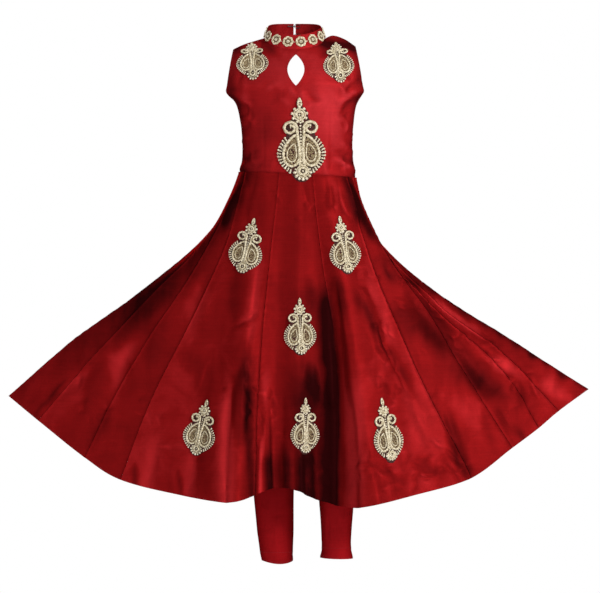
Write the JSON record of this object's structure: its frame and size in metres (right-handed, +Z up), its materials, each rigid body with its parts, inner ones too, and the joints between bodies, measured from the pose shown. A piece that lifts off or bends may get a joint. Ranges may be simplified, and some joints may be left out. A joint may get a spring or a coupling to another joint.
{
  "type": "salwar suit",
  "caption": "Girl's sleeveless flared kurta of long gores with stand collar, leaf-shaped neck opening and embroidered drop motifs, worn over narrow churidar trousers, in its worn shape.",
  "frame": {"origin": "between the shoulders at the level of the neck, where the wearer's shoulders and neck hold the kurta up", "axes": "+X to the side of the picture's right, across the spread skirt, +Y to the back, +Z up"},
  "size_m": [1.0464, 0.3291, 0.972],
  "materials": {
    "kurta_cloth": "crisp crimson art silk taffeta with a soft sheen",
    "churidar_cloth": "matte crimson cotton-blend cloth",
    "motif_embroidery": "cream and pale gold cord, thread and bead embroidery",
    "lace_flowers": "cream and gold lace flowers",
    "closure_wire": "dark enamelled wire"
  },
  "bodies": {
    "root": {"bodice_back_left": "kurta_cloth", "bodice_back_right": "kurta_cloth", "bodice_front": "kurta_cloth", "collar": "kurta_cloth", "collar_flower_01": "lace_flowers", "collar_flower_02": "lace_flowers", "collar_flower_03": "lace_flowers", "collar_flower_04": "lace_flowers", "collar_flower_05": "lace_flowers", "collar_flower_06": "lace_flowers", "collar_flower_07": "lace_flowers", "collar_flower_08": "lace_flowers", "collar_flower_09": "lace_flowers", "collar_flower_10": "lace_flowers", "collar_flower_11": "lace_flowers", "collar_flower_12": "lace_flowers", "collar_flower_13": "lace_flowers", "collar_flower_14": "lace_flowers", "eye_lower": "closure_wire", "eye_upper": "closure_wire", "gore_back_left_a": "kurta_cloth", "gore_back_left_b": "kurta_cloth", "gore_back_left_c": "kurta_cloth", "gore_back_right_a": "kurta_cloth", "gore_back_right_b": "kurta_cloth", "gore_back_right_c": "kurta_cloth", "gore_front_centre": "kurta_cloth", "gore_front_left_a": "kurta_cloth", "gore_front_left_b": "kurta_cloth", "gore_front_left_c": "kurta_cloth", "gore_front_left_d": "kurta_cloth", "gore_front_right_a": "kurta_cloth", "gore_front_right_b": "kurta_cloth", "gore_front_right_c": "kurta_cloth", "gore_front_right_d": "kurta_cloth", "gore_front_right_e": "kurta_cloth", "hook_lower": "closure_wire", "hook_upper": "closure_wire", "leg_left": "churidar_cloth", "leg_right": "churidar_cloth", "motif_bodice_centre": "motif_embroidery", "motif_shoulder_left": "motif_embroidery", "motif_shoulder_right": "motif_embroidery", "motif_skirt_lower_centre": "motif_embroidery", "motif_skirt_lower_left": "motif_embroidery", "motif_skirt_lower_right": "motif_embroidery", "motif_skirt_upper_centre": "motif_embroidery", "motif_skirt_upper_left": "motif_embroidery", "motif_skirt_upper_right": "motif_embroidery", "waistband": "churidar_cloth"}
  },
  "joints": []
}
